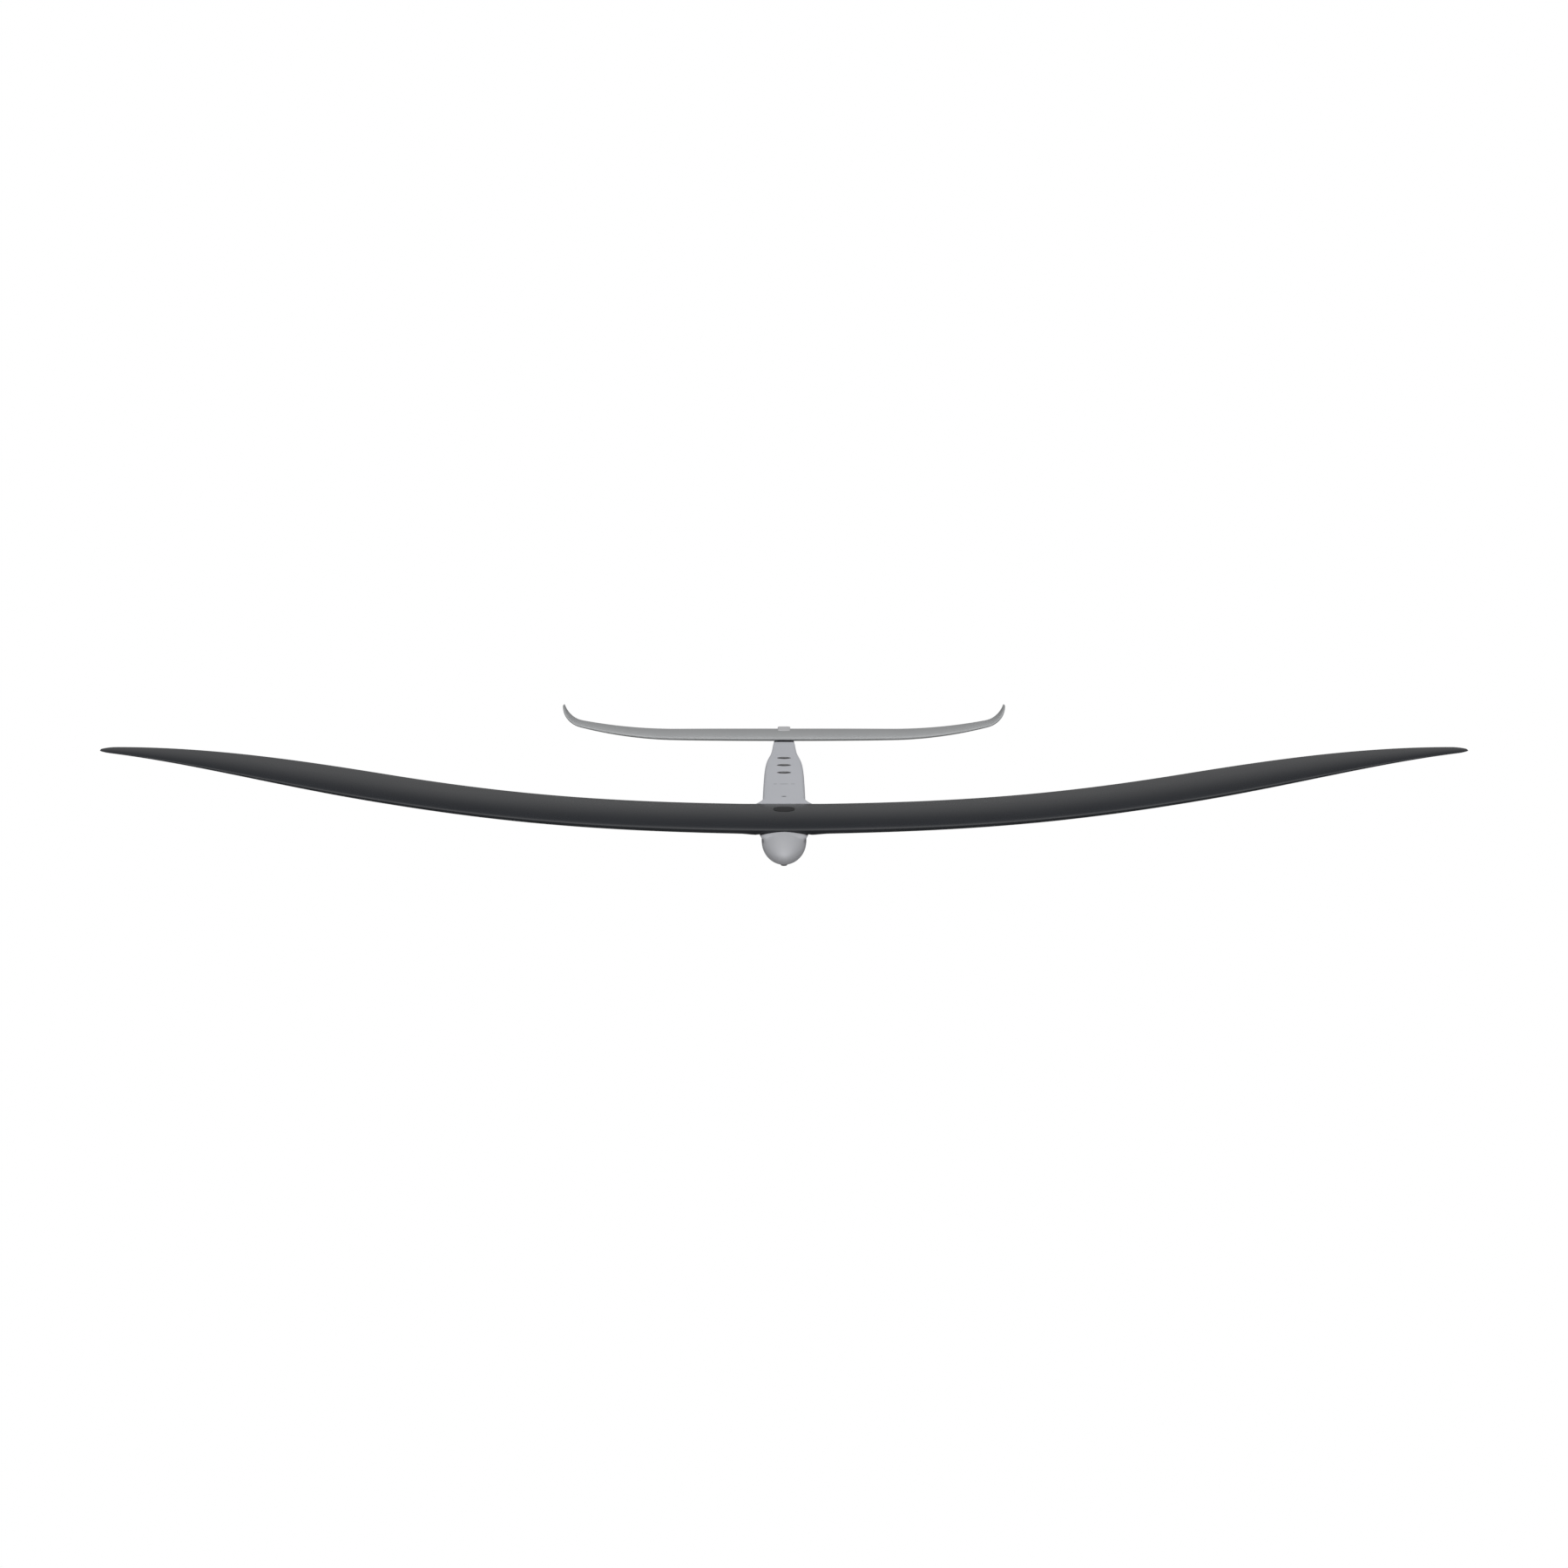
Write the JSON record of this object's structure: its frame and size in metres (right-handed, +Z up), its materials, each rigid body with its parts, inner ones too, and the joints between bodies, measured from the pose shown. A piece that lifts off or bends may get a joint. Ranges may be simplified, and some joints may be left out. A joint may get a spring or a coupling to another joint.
{
  "type": "hydrofoil wing set",
  "caption": "Underwater wing set of a foil board: a high-aspect front wing, a slim fuselage with nose cone, mast bolt seat and a rear stabilizer with turned-up tips.",
  "frame": {"origin": "middle bolt hole of the mast seat, on the deck plane", "axes": "+X along the span, +Y towards the tail, +Z up towards the mast"},
  "size_m": [1.0984, 0.5587, 0.075],
  "materials": {
    "wing_carbon": "satin",
    "foam_core": "matte",
    "spar_carbon": "satin",
    "root_laminate": "matte",
    "badge": "gloss",
    "stainless": "brushed",
    "insert_brass": "satin",
    "fuselage_laminate": "satin",
    "nose_shell": "satin",
    "fuselage_filler": "matte",
    "spigot_aluminium": "satin",
    "mark_inlay": "matte",
    "shim": "matte",
    "stabilizer_laminate": "satin",
    "tail_cap": "satin"
  },
  "bodies": {
    "fuselage": {"fuselage_shell": "fuselage_laminate", "fuselage_core": "fuselage_filler", "mast_insert_front": "stainless", "mast_insert_middle": "stainless", "mast_insert_rear": "stainless", "wing_bolt_sleeve_front": "stainless", "wing_bolt_sleeve_middle": "stainless", "wing_bolt_sleeve_rear": "stainless", "deck_marks": "mark_inlay", "nose_cone": "nose_shell", "nose_spigot": "spigot_aluminium", "nose_insert": "insert_brass", "nose_screw": "stainless", "stabilizer_shim": "shim"},
    "front_wing": {"wing_upper_skin": "wing_carbon", "wing_lower_skin": "wing_carbon", "wing_front_core_left": "foam_core", "wing_front_core_right": "foam_core", "wing_rear_core_left": "foam_core", "wing_rear_core_right": "foam_core", "wing_spar_left": "spar_carbon", "wing_spar_right": "spar_carbon", "wing_root_block": "root_laminate", "wing_insert_front": "stainless", "wing_insert_middle": "stainless", "wing_insert_rear": "stainless", "wing_badge": "badge"},
    "stabilizer": {"stabilizer_blade": "stabilizer_laminate", "stabilizer_insert_front": "stainless", "stabilizer_insert_rear": "stainless", "tail_cap": "tail_cap"},
    "wing_bolt_front": {"wing_bolt_front": "stainless", "wing_bolt_washer_front": "stainless"},
    "wing_bolt_middle": {"wing_bolt_middle": "stainless", "wing_bolt_washer_middle": "stainless"},
    "wing_bolt_rear": {"wing_bolt_rear": "stainless", "wing_bolt_washer_rear": "stainless"},
    "stabilizer_screw_front": {"stabilizer_screw_front": "stainless"},
    "stabilizer_screw_rear": {"stabilizer_screw_rear": "stainless"}
  },
  "joints": [
    {"name": "front_wing_lift", "type": "slide", "parent": "fuselage", "child": "front_wing", "axis": [0, 0, 1], "range_m": [0, 0.06]},
    {"name": "stabilizer_lift", "type": "slide", "parent": "fuselage", "child": "stabilizer", "axis": [0, 0, 1], "range_m": [0, 0.05]},
    {"name": "wing_bolt_front_out", "type": "slide", "parent": "fuselage", "child": "wing_bolt_front", "axis": [0, 0, -1], "range_m": [0, 0.045]},
    {"name": "wing_bolt_middle_out", "type": "slide", "parent": "fuselage", "child": "wing_bolt_middle", "axis": [0, 0, -1], "range_m": [0, 0.045]},
    {"name": "wing_bolt_rear_out", "type": "slide", "parent": "fuselage", "child": "wing_bolt_rear", "axis": [0, 0, -1], "range_m": [0, 0.045]},
    {"name": "stabilizer_screw_front_out", "type": "slide", "parent": "fuselage", "child": "stabilizer_screw_front", "axis": [0, 0, -1], "range_m": [0, 0.025]},
    {"name": "stabilizer_screw_rear_out", "type": "slide", "parent": "fuselage", "child": "stabilizer_screw_rear", "axis": [0, 0, -1], "range_m": [0, 0.025]}
  ]
}
